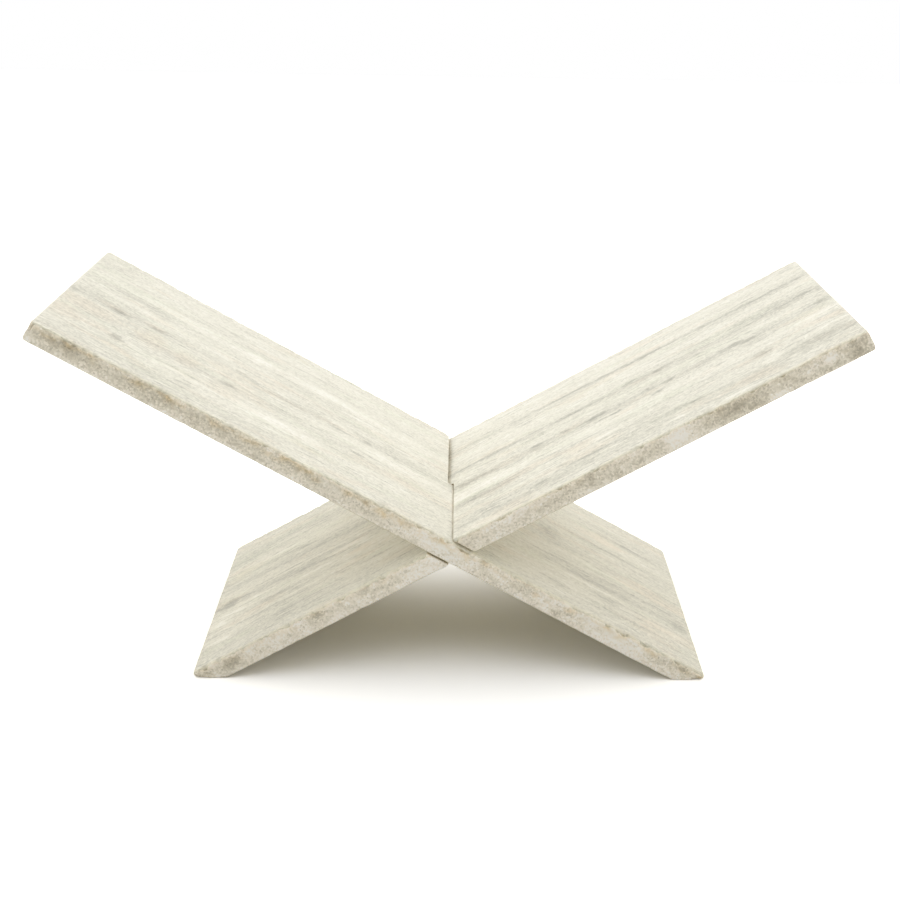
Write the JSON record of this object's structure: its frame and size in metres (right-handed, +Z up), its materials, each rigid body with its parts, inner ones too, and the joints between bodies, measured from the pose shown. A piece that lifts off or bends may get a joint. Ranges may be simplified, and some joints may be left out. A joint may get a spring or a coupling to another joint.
{
  "type": "book stand",
  "caption": "X-shaped stand for an open book: flat stone slabs cross at mid-depth slots, hold the book in the V above and stand on level-cut feet.",
  "frame": {"origin": "on the floor at the middle of the stand, straight below the line where the upper faces of the slabs cross", "axes": "+X across the stand towards the right slab's raised end, +Y to the back along the crossing line, +Z up"},
  "size_m": [0.4678, 0.2, 0.2127],
  "materials": {
    "marble": "honed linear-veined cream and grey marble, long edges left fine-sawn and granular"
  },
  "bodies": {
    "left_slab": {"left_slab": "marble"},
    "right_slab": {"right_slab": "marble"}
  },
  "joints": [
    {"name": "slot_slide", "type": "slide", "parent": "left_slab", "child": "right_slab", "axis": [0, 1, 0], "range_m": [0, 0.105]}
  ]
}
